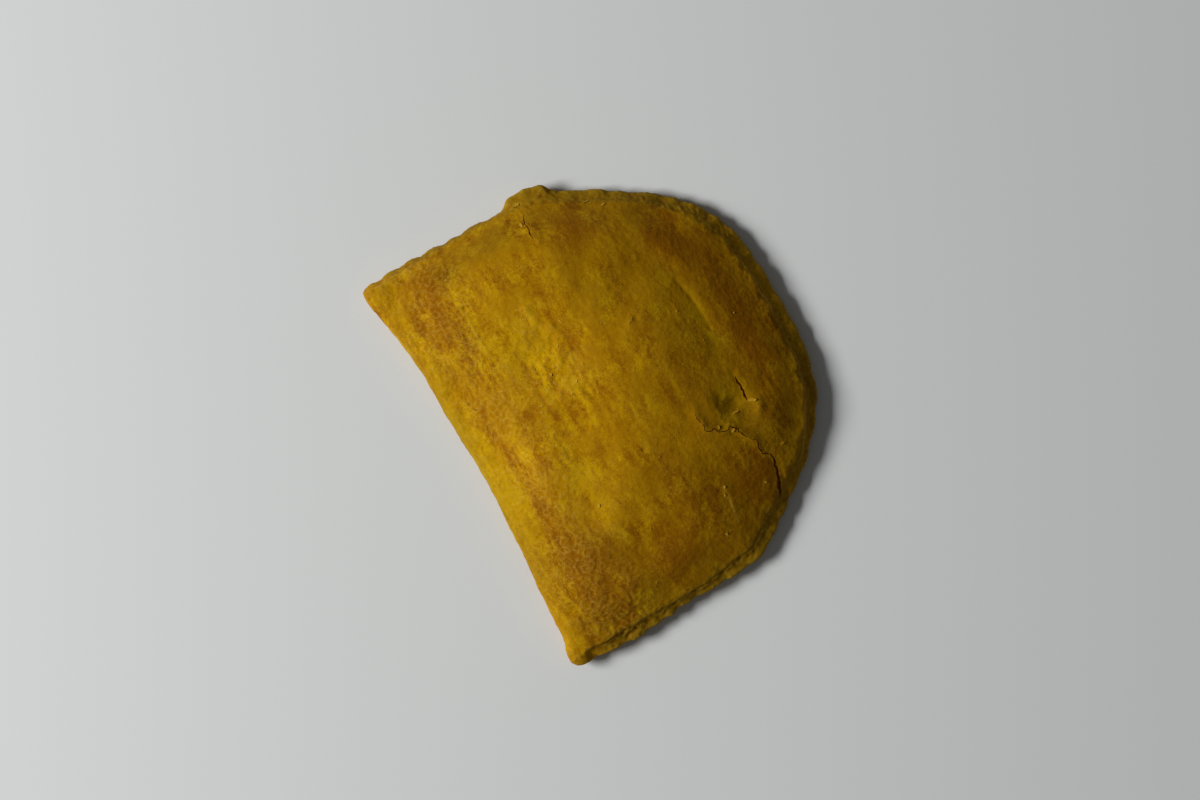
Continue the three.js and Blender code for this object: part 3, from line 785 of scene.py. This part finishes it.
def crack_material(colours):
    """Moist darker pastry inside the cracks."""
    material, tree, shader, crumb = new_material("crack_inside")
    share = calculate(tree, "ADD", crumb.outputs["Mottle"], 0.5, limit=True)
    colour = blend_colours(tree, share, opaque(colours.inside), opaque(colours.toasted))
    tree.links.new(colour, shader.inputs["Base Color"])
    shader.inputs["Roughness"].default_value = 0.6
    shader.inputs["Specular IOR Level"].default_value = 0.25
    add_bump(tree, shader, crumb.outputs["Height"], 0.6, 0.3 * MM)
    return material


# The crust


def texture(name, kind, size, **values):
    """A procedural texture for relief, with features of about this size in metres."""
    made = bpy.data.textures.new(name, kind)
    made.noise_scale = size
    for key, value in values.items():
        setattr(made, key, value)
    return made


def stepped(made, steps):
    """Turns a texture's soft values, which lie about its middle, into level steps."""
    lowest, highest = 0.3, 0.7
    made.use_color_ramp = True
    ramp = made.color_ramp
    ramp.interpolation = "CONSTANT"
    for step in range(1, steps - 1):
        ramp.elements.new(step / (steps - 1))
    for index, stop in enumerate(ramp.elements):
        level = index / (steps - 1)
        stop.position = lowest + (highest - lowest) * level
        stop.color = (level, level, level, 1)
    return made


def raise_by(piece, group, height, pattern=None):
    """Raises the painted places along the surface's normal, evenly or by a texture's pattern."""
    values = {"strength": height, "vertex_group": group, "direction": "NORMAL", "mid_level": 0.0}
    if pattern:
        values.update(texture=pattern, texture_coords="LOCAL", mid_level=0.5)
    apply_modifier(piece, "DISPLACE", **values)


def smooth_by(piece, group, factor, rounds):
    """Smooths the painted places."""
    apply_modifier(piece, "SMOOTH", factor=factor, iterations=rounds, vertex_group=group)


def copy_of_solid(node_name, name):
    """A new object with the solid's mesh, its loose triangles merged."""
    piece = bpy.data.objects.new(name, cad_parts[node_name].data.copy())
    bpy.context.scene.collection.objects.link(piece)
    choose(piece)
    bpy.ops.object.mode_set(mode="EDIT")
    bpy.ops.mesh.select_all(action="SELECT")
    bpy.ops.mesh.remove_doubles(threshold=0.01 * MM)
    bpy.ops.object.mode_set(mode="OBJECT")
    return piece


def crack_blade(name, crack, skin, draw):
    """A thin upright blade along a crack's uneven line, for cutting it."""
    line = [Vector(each) for each in crack["line"]]
    points = []
    for start, end in zip(line, line[1:]):
        steps = max(1, round((end - start).length / CRACK_STEP))
        points += [start.lerp(end, step / steps) for step in range(steps)]
    points.append(line[-1])
    curve = bpy.data.curves.new(name, "CURVE")
    curve.dimensions = "3D"
    curve.twist_mode = "Z_UP"
    curve.extrude = crack["depth"] * MM
    curve.bevel_depth = max(crack["half_widths"]) * MM
    curve.bevel_resolution = 0
    curve.use_fill_caps = True
    spline = curve.splines.new("POLY")
    spline.points.add(len(points) - 1)
    for index, (control, point) in enumerate(zip(spline.points, points)):
        share = index / (len(points) - 1)
        jog = Vector((draw.uniform(-1, 1), draw.uniform(-1, 1))) * CRACK_JOG
        surface, _ = place_on(skin, point.x + jog.x, point.y + jog.y)
        width = crack["half_widths"][0] * (1 - share) + crack["half_widths"][1] * share
        taper = min(1.0, CRACK_TIP + 10 * CRACK_TIP * min(share, 1 - share))
        control.co = (*surface, 1.0)
        control.radius = taper * draw.uniform(*CRACK_UNEVEN) * width / max(crack["half_widths"])
    blade = bpy.data.objects.new(name, curve)
    bpy.context.scene.collection.objects.link(blade)
    choose(blade)
    bpy.ops.object.convert(target="MESH")
    bpy.ops.object.mode_set(mode="EDIT")
    bpy.ops.mesh.select_all(action="SELECT")
    bpy.ops.mesh.remove_doubles(threshold=0.005 * MM)
    bpy.ops.mesh.normals_make_consistent(inside=False)
    bpy.ops.object.mode_set(mode="OBJECT")
    return blade


def cut(piece, blade):
    """Cuts a blade's shape out of a piece, and removes the blade."""
    apply_modifier(piece, "BOOLEAN", operation="DIFFERENCE", solver="MANIFOLD", object=blade)
    bpy.data.objects.remove(blade)


class PATTY_OT_crust(bpy.types.Operator):
    """Makes the crust from the solid: remeshed finely, roughened, cracked and painted"""

    bl_idname = "patty.crust"
    bl_label = "Crust"

    def execute(self, context):
        sizes = context.scene.patty_sizes
        colours = context.scene.patty_colours
        crust = copy_of_solid("patty", "crust")
        apply_modifier(crust, "REMESH", mode="VOXEL", voxel_size=sizes.voxel)
        self.soften(crust, sizes)
        smooth_skin = skin_of(crust)
        self.roughen(crust, sizes)
        self.crack(crust, colours)
        self.paint(crust, smooth_skin)
        self.settle(crust, sizes)
        choose(crust)
        bpy.ops.object.shade_smooth_by_angle(angle=math.radians(65))
        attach(crust, "root")
        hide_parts("patty")
        return {"FINISHED"}

    def soften(self, crust, sizes):
        """Takes the solid's facets off, and closes its cracks to be cut again finely"""
        places = on_plan(coordinates(crust))
        height = places[:, 2]
        lid = ease(height, *SMOOTH_LID_FROM)
        to_crack = distance_to_lines(places, *SOLID_CRACKS)
        closed = ease(to_crack, *CLOSED_REACH) * ease(height, *CLOSED_FROM)
        filled = bell(to_crack / FILLED_REACH) * ease(height, *FILLED_FROM)
        to_crease = distance_to_lines(places, CREASE["line"])
        creased = ease(to_crease, CREASE["reach"], 0.5 * CREASE["reach"]) * lid
        smooth_by(crust, paint_weights(crust, "skin", ease(height, *SKIN_FROM)), factor=0.5, rounds=5)
        smooth_by(crust, paint_weights(crust, "solid_cracks", closed), factor=0.6, rounds=90)
        raise_by(crust, paint_weights(crust, "filled", filled), sizes.crack_fill)
        smooth_by(crust, paint_weights(crust, "lid", lid), factor=0.5, rounds=14)
        smooth_by(crust, paint_weights(crust, "creased", creased), factor=0.6, rounds=110)

    def roughen(self, crust, sizes):
        """Raises the crust's puffs, wrinkles, broken layers, grain and rim, and sinks its pits and hollows"""
        places = on_plan(coordinates(crust))
        above_base = ease(places[:, 2], *ROUGH_FROM)
        lid = ease(places[:, 2], *LID_FROM)
        self.paint_relief(crust, places, above_base, lid)
        fold_puffs = texture("fold_puffs", "CLOUDS", 4.5 * MM, noise_depth=1)
        wrinkles = texture("wrinkles", "MUSGRAVE", 1.9 * MM, musgrave_type="RIDGED_MULTIFRACTAL", octaves=2)
        layers = stepped(texture("layers", "CLOUDS", 2.4 * MM, noise_depth=2), 5)
        flaked = texture("flaked", "CLOUDS", 2 * MM, noise_depth=2, noise_type="HARD_NOISE")
        raise_by(crust, "puffed", sizes.puff, texture("puffs", "CLOUDS", 9 * MM, noise_depth=1))
        raise_by(crust, "layered", sizes.layers, layers)
        raise_by(crust, "wrinkled", sizes.wrinkle, wrinkles)
        raise_by(crust, "fold_edge", sizes.fold_puff, fold_puffs)
        raise_by(crust, "rim", -sizes.rim, flaked)
        raise_by(crust, "groove", sizes.seam_fill)
        raise_by(crust, "groove", sizes.seam_tear, texture("torn", "CLOUDS", 3.5 * MM, noise_depth=2))
        raise_by(crust, "all_over", sizes.grain, texture("grain", "CLOUDS", 0.9 * MM, noise_depth=2))
        raise_by(crust, "lips", sizes.crack_lip)
        raise_by(crust, "pitted", -MM)
        for index, edge in enumerate(LAYER_EDGES):
            beside, share = beside_line(places, edge["line"])
            fading = np.exp(-np.maximum(beside, 0) / edge["fade"])
            lifted = ease(beside, *LAYER_EDGE_FOOT) * fading * fading_ends(share) * above_base
            raise_by(crust, paint_weights(crust, f"layer_edge_{index}", lifted), edge["height"] * MM)
        for index, hollow in enumerate(HOLLOWS):
            sunk = bell(distance_to_lines(places, hollow["line"]) / hollow["reach"]) * lid
            raise_by(crust, paint_weights(crust, f"hollow_{index}", sunk), -hollow["depth"] * MM)

    def paint_relief(self, crust, places, above_base, lid):
        """Paints the places where each kind of relief is raised or sunk"""
        height = places[:, 2]
        from_fold = places[:, 1] - FOLD_LINE
        scaly = zone(places, SCALY_PATCH["at"], SCALY_PATCH["reach"])
        band = bell((from_fold - WRINKLED_BAND["from_fold"]) / WRINKLED_BAND["reach"])
        rim = ease(height, *RIM["below"]) * ease(from_fold, *RIM["past_fold"])
        lips = bell(distance_to_lines(places, *(crack["line"] for crack in CRACKS)) / CRACK_LIP_REACH)
        pits = [pit["depth"] * zone(places, pit["at"], (pit["reach"], pit["reach"])) for pit in PITS]
        fold_edge = ease(from_fold, *FOLD_EDGE["within"]) * ease(height, *FOLD_EDGE["above"])
        seam = ease(height, *SEAM["above"]) * ease(height, *SEAM["below"])
        seam *= ease(from_fold, *SEAM["past_fold"])
        groove = np.clip(-convexity(crust, SEAM["rounds"]) / (SEAM["depth"] * MM), 0, 1)
        paint_weights(crust, "all_over", above_base)
        paint_weights(crust, "wrinkled", above_base * np.clip(0.25 + 0.75 * band + 0.3 * scaly, 0, 1))
        paint_weights(crust, "fold_edge", fold_edge)
        paint_weights(crust, "pitted", np.max(pits, axis=0))
        paint_weights(crust, "puffed", lid)
        paint_weights(crust, "layered", np.clip(scaly + 0.1 * lid, 0, 1))
        paint_weights(crust, "rim", above_base * rim)
        paint_weights(crust, "lips", lips * lid)
        paint_weights(crust, "groove", groove * seam)

    def crack(self, crust, colours):
        """Cuts the cracks, their insides in a darker material"""
        crust.data.materials.clear()
        crust.data.materials.append(crust_material(colours))
        inside = crack_material(colours)
        crust.data.materials.append(inside)
        skin = skin_of(crust)
        draw = random.Random(SEEDS["cracks"])
        for index, crack in enumerate(CRACKS):
            blade = crack_blade(f"blade_{index}", crack, skin, draw)
            blade.data.materials.append(inside)
            cut(crust, blade)

    def paint(self, crust, smooth_skin):
        """Paints how browned, raised and scaly each place is, the dry edges, and painted shade in the hollow
        pockets of the rim and the wrinkled band
        """
        points = coordinates(crust)
        places = on_plan(points)
        from_fold = places[:, 1] - FOLD_LINE
        underneath = ease(-vertex_normals(crust)[:, 2], 0.2, 0.8)
        rim = ease(places[:, 2], *DULL_RIM["below"]) * ease(from_fold, *DULL_RIM["past_fold"])
        rim *= 1 - underneath
        shaded_far_side = ease(places[:, 1], *SHADED_FAR_SIDE["past_y"]) * ease(places[:, 0], *SHADED_FAR_SIDE["past_x"])
        along_fold = bell((places[:, 0] - YELLOW_EDGE["middle"]) / YELLOW_EDGE["spread"])
        wrinkled = 0.3 + 0.7 * bell((from_fold - WRINKLED_BAND["from_fold"]) / WRINKLED_BAND["reach"])
        scaly = np.maximum(zone(places, SCALY_PATCH["at"], SCALY_PATCH["reach"]), 0.9 * wrinkled - 0.2)
        bulge = convexity(crust, DRY_EDGE["rounds"]) / (DRY_EDGE["height"] * MM)
        dry = np.clip(bulge, 0, 1) * np.maximum(0.15 * rim, 0.3 * wrinkled * (1 - rim))
        for edge in LAYER_EDGES:
            beside, share = beside_line(places, edge["line"])
            dry = np.maximum(dry, edge["pale"] * bell(beside / LAYER_EDGE_WIDTH) * fading_ends(share))

        browning = USUAL_BROWNING + sum_of_zones(places, TOASTED)
        toasted = bell((from_fold - TOASTED_BAND["from_fold"]) / TOASTED_BAND["reach"])
        yellow = bell((from_fold - YELLOW_EDGE["from_fold"]) / YELLOW_EDGE["reach"]) * along_fold
        browning += TOASTED_BAND["by"] * toasted + YELLOW_EDGE["by"] * yellow
        browning = browning * (1 - underneath) + UNDERSIDE_BROWNING * underneath

        paint_values(crust, "browning", np.clip(browning, 0, 1))
        raised = self.height_above(points, smooth_skin) / (FULLY_RAISED * MM)
        paint_values(crust, "raised", np.clip(raised, -1, 1))
        # Painted light and shade of the zones, with some of the crust's own tone
        paint_values(crust, "tone_and_painted_light", sum_of_zones(places, TONE_AND_PAINTED_LIGHT_ZONES))
        paint_values(crust, "scaly", np.clip(scaly, 0, 1) * (1 - rim))
        fold_edge = bell(from_fold / DULL_FOLD_REACH) * along_fold
        # The rim's dull colour is weaker on the far side, which lies in shade: painted light
        paint_values(crust, "dull_rim_and_painted_light", np.maximum((0.8 - 0.2 * shaded_far_side) * rim, 0.75 * fold_edge))
        paint_values(crust, "dry_edge", dry)
        # Painted shade: concave pockets of the rim and the wrinkled band are darkened with the crack-inside
        # colour
        paint_values(crust, "painted_pocket_shade", 0.55 * np.clip(-bulge, 0, 1) * np.maximum(rim, 0.25 * wrinkled))

    def height_above(self, points, skin):
        """How far each point stands out from a skin, in metres"""
        heights = np.zeros(len(points))
        for index, point in enumerate(points):
            nearest, normal, _, _ = skin.find_nearest(Vector(point))
            heights[index] = (Vector(point) - nearest).dot(normal)
        return heights

    def settle(self, crust, sizes):
        """Leaves the base with fewer faces, and presses it flat on the floor"""
        group = paint_weights(crust, "base", ease(coordinates(crust)[:, 2] / MM, *BASE_BELOW))
        apply_modifier(crust, "DECIMATE", ratio=sizes.faces_kept, vertex_group=group, vertex_group_factor=1.0)
        points = coordinates(crust)
        points[:, 2] = np.maximum(points[:, 2], 0.0)
        crust.data.vertices.foreach_set("co", points.ravel())
        crust.data.update()


# Flakes and crumbs


def flake_blank(name, seed, curl):
    """One thin uneven flake of unit size, curled along one way."""
    bpy.ops.object.select_all(action="DESELECT")
    bpy.ops.mesh.primitive_circle_add(vertices=9, radius=0.5, fill_type="NGON")
    blank = bpy.context.object
    blank.name = name
    bpy.ops.object.mode_set(mode="EDIT")
    bpy.ops.mesh.select_all(action="SELECT")
    bpy.ops.mesh.inset(thickness=0.16)
    bpy.ops.mesh.inset(thickness=0.14)
    bpy.ops.mesh.poke()
    bpy.ops.mesh.select_all(action="SELECT")
    bpy.ops.transform.vertex_random(offset=0.09, seed=seed)
    bpy.ops.transform.resize(value=(1.0, 0.7, 0.6))
    bpy.ops.object.mode_set(mode="OBJECT")
    apply_modifier(blank, "SIMPLE_DEFORM", deform_method="BEND", deform_axis="Y", angle=curl)
    apply_modifier(blank, "SOLIDIFY", thickness=0.07, offset=0.0)
    return blank


def crumb_blank(name, seed):
    """One lumpy crumb of unit size."""
    bpy.ops.object.select_all(action="DESELECT")
    bpy.ops.mesh.primitive_ico_sphere_add(subdivisions=2, radius=0.5)
    blank = bpy.context.object
    blank.name = name
    bpy.ops.object.mode_set(mode="EDIT")
    bpy.ops.mesh.select_all(action="SELECT")
    bpy.ops.transform.vertex_random(offset=0.14, seed=seed)
    bpy.ops.transform.resize(value=(1.0, 0.8, 0.6))
    bpy.ops.object.mode_set(mode="OBJECT")
    return blank


def stand_on(skin, at, size, turn, tip, lift):
    """The matrix that sets a unit blank of this width and length on the skin, turned, tipped and lifted."""
    point, normal = place_on(skin, *at)
    upright = Vector((0, 0, 1)).rotation_difference(normal).to_matrix().to_4x4()
    turned = Matrix.Rotation(math.radians(turn), 4, "Z") @ Matrix.Rotation(math.radians(-tip), 4, "Y")
    width, length = size
    lifted = Matrix.Translation(point + normal * lift * width * MM)
    return lifted @ upright @ turned @ Matrix.Diagonal((width * MM, length * MM, width * MM, 1.0))


def gather(name, blanks, stands, draw):
    """Copies of the blanks, each with its own mesh, set at their places and joined into one piece."""
    copies = []
    for stand in stands:
        mesh = draw.choice(blanks).data.copy()
        mesh.transform(stand)
        copy = bpy.data.objects.new(name, mesh)
        bpy.context.scene.collection.objects.link(copy)
        copies.append(copy)
    choose(*copies)
    bpy.ops.object.join()
    piece = bpy.context.object
    piece.name = name
    for blank in blanks:
        bpy.data.objects.remove(blank)
    return piece


def flake_finish(context):
    return bpy.data.materials.get("pale_flake") or flake_material(context.scene.patty_colours)


def on_lid(draw, middle, reach):
    """A seeded place near a middle, on the lid."""
    limits = SCATTER_LIMITS
    while True:
        x = draw.gauss(middle[0], reach[0])
        y = draw.gauss(middle[1], reach[1])
        arch = limits["arch_top"] - limits["arch_fall"] * x * x
        if abs(x) < limits["half_length"] and limits["fold_side"] < y < arch:
            return x, y


class PATTY_OT_flakes(bpy.types.Operator):
    """Stands the curled flakes at the cracks and the torn flap"""

    bl_idname = "patty.flakes"
    bl_label = "Curled flakes"

    def execute(self, context):
        skin = skin_of(bpy.data.objects["crust"])
        draw = random.Random(SEEDS["flakes"])
        blanks = [flake_blank(f"curl_{seed}", seed, math.radians(FLAKE_CURL)) for seed in range(4)]
        stands = [stand_on(skin, **each, lift=LIFTS["flake"]) for each in CURLED_FLAKES]
        finish_piece(gather("curled_flakes", blanks, stands, draw), flake_finish(context))
        return {"FINISHED"}


class PATTY_OT_scales(bpy.types.Operator):
    """Scatters the small scales of the broken top layer, most of them in the scaly patch"""

    bl_idname = "patty.scales"
    bl_label = "Scales"

    def execute(self, context):
        skin = skin_of(bpy.data.objects["crust"])
        draw = random.Random(SEEDS["scales"])
        blanks = [flake_blank(f"scale_{seed}", 20 + seed, math.radians(SCALE_CURL)) for seed in range(5)]
        stands = []
        for index in range(context.scene.patty_sizes.scales):
            where = "in_patch" if index % 3 < 2 else "elsewhere"
            at = on_lid(draw, *SCALES[where])
            size = (draw.uniform(*SCALES["width"]), draw.uniform(*SCALES["length"]))
            turn = draw.gauss(*SCALES["bearing"])
            tip = draw.uniform(*SCALES["tip"])
            stands.append(stand_on(skin, at, size, turn, tip, LIFTS["scale"]))
        finish_piece(gather("scales", blanks, stands, draw), flake_finish(context))
        return {"FINISHED"}


class PATTY_OT_crumbs(bpy.types.Operator):
    """Scatters the crumbs that stick to the crust"""

    bl_idname = "patty.crumbs"
    bl_label = "Crumbs"

    def execute(self, context):
        skin = skin_of(bpy.data.objects["crust"])
        draw = random.Random(SEEDS["crumbs"])
        blanks = [crumb_blank(f"crumb_{seed}", 40 + seed) for seed in range(4)]
        stands = []
        for _ in range(context.scene.patty_sizes.crumbs):
            at = on_lid(draw, *CRUMBS["scattered"])
            width = draw.uniform(*CRUMBS["width"])
            size = (width, CRUMBS["length_to_width"] * width)
            turn = draw.uniform(0, 360)
            stands.append(stand_on(skin, at, size, turn, 0, LIFTS["crumb"]))
        finish_piece(gather("crumbs", blanks, stands, draw), flake_finish(context))
        return {"FINISHED"}


# The stage


class PATTY_OT_stage(bpy.types.Operator):
    """Sets the plain floor, the soft light and the camera above the patty"""

    bl_idname = "patty.stage"
    bl_label = "Stage"

    def execute(self, context):
        light = context.scene.patty_light
        self.add_floor(context.scene.patty_colours)
        self.add_key(light)
        self.add_world(context, light)
        self.add_camera(context, light)
        context.scene.view_settings.view_transform = "Standard"
        return {"FINISHED"}

    def add_floor(self, colours):
        bpy.ops.object.select_all(action="DESELECT")
        bpy.ops.mesh.primitive_plane_add(size=6)
        floor = bpy.context.object
        floor.name = "floor"
        material = bpy.data.materials.new("floor")
        material.use_nodes = True
        shader = material.node_tree.nodes["Principled BSDF"]
        shader.inputs["Base Color"].default_value = opaque(colours.floor)
        shader.inputs["Roughness"].default_value = 0.9
        shader.inputs["Specular IOR Level"].default_value = 0.1
        floor.data.materials.append(material)

    def add_key(self, light):
        across = math.cos(light.key_height)
        toward = Vector(
            (
                across * math.cos(light.key_bearing),
                across * math.sin(light.key_bearing),
                math.sin(light.key_height),
            )
        )
        bpy.ops.object.light_add(type="AREA", location=toward * light.key_distance)
        key = bpy.context.object
        key.name = "key"
        key.data.shape = "RECTANGLE"
        key.data.size = light.key_width
        key.data.size_y = light.key_tall
        key.data.energy = light.key_power
        key.rotation_euler = toward.to_track_quat("Z", "Y").to_euler()

    def add_world(self, context, light):
        world = bpy.data.worlds.new("studio")
        world.use_nodes = True
        world.node_tree.nodes["Background"].inputs["Color"].default_value = (1, 1, 1, 1)
        world.node_tree.nodes["Background"].inputs["Strength"].default_value = light.ambient
        context.scene.world = world

    def add_camera(self, context, light):
        sensor = 36.0
        distance = light.lens / sensor * IMAGE_WIDTH / PIXELS_PER_MM
        data = bpy.data.cameras.new("camera")
        data.lens = light.lens
        data.sensor_width = sensor
        camera = bpy.data.objects.new("camera", data)
        middle = [(share + zero) * MM for share, zero in zip(IMAGE_MIDDLE, PLAN_ZERO)]
        camera.location = (*middle, (RIM_HEIGHT + distance) * MM)
        camera.rotation_euler = (0, 0, math.radians(IMAGE_TURN))
        context.scene.collection.objects.link(camera)
        context.scene.camera = camera


class PATTY_PT_panel(bpy.types.Panel):
    """Lists the steps that dress the patty"""

    bl_idname = "PATTY_PT_panel"
    bl_label = "Baked patty"
    bl_space_type = "VIEW_3D"
    bl_region_type = "UI"
    bl_category = "Patty"

    def draw(self, context):
        for step in STEPS:
            self.layout.operator(step.bl_idname)
        for group in (context.scene.patty_sizes, context.scene.patty_colours, context.scene.patty_light):
            box = self.layout.box()
            for name in group.bl_rna.properties.keys():
                if name not in ("rna_type", "name"):
                    box.prop(group, name)


STEPS = (PATTY_OT_crust, PATTY_OT_flakes, PATTY_OT_scales, PATTY_OT_crumbs, PATTY_OT_stage)
CLASSES = (PattySizes, PattyColours, PattyLight, *STEPS, PATTY_PT_panel)


def register():
    for each in CLASSES:
        bpy.utils.register_class(each)
    bpy.types.Scene.patty_sizes = PointerProperty(type=PattySizes)
    bpy.types.Scene.patty_colours = PointerProperty(type=PattyColours)
    bpy.types.Scene.patty_light = PointerProperty(type=PattyLight)


def unregister():
    del bpy.types.Scene.patty_sizes
    del bpy.types.Scene.patty_colours
    del bpy.types.Scene.patty_light
    for each in reversed(CLASSES):
        bpy.utils.unregister_class(each)


def main():
    register()
    bpy.ops.patty.crust()
    bpy.ops.patty.flakes()
    bpy.ops.patty.scales()
    bpy.ops.patty.crumbs()
    bpy.ops.patty.stage()


if __name__ == "__main__":
    main()
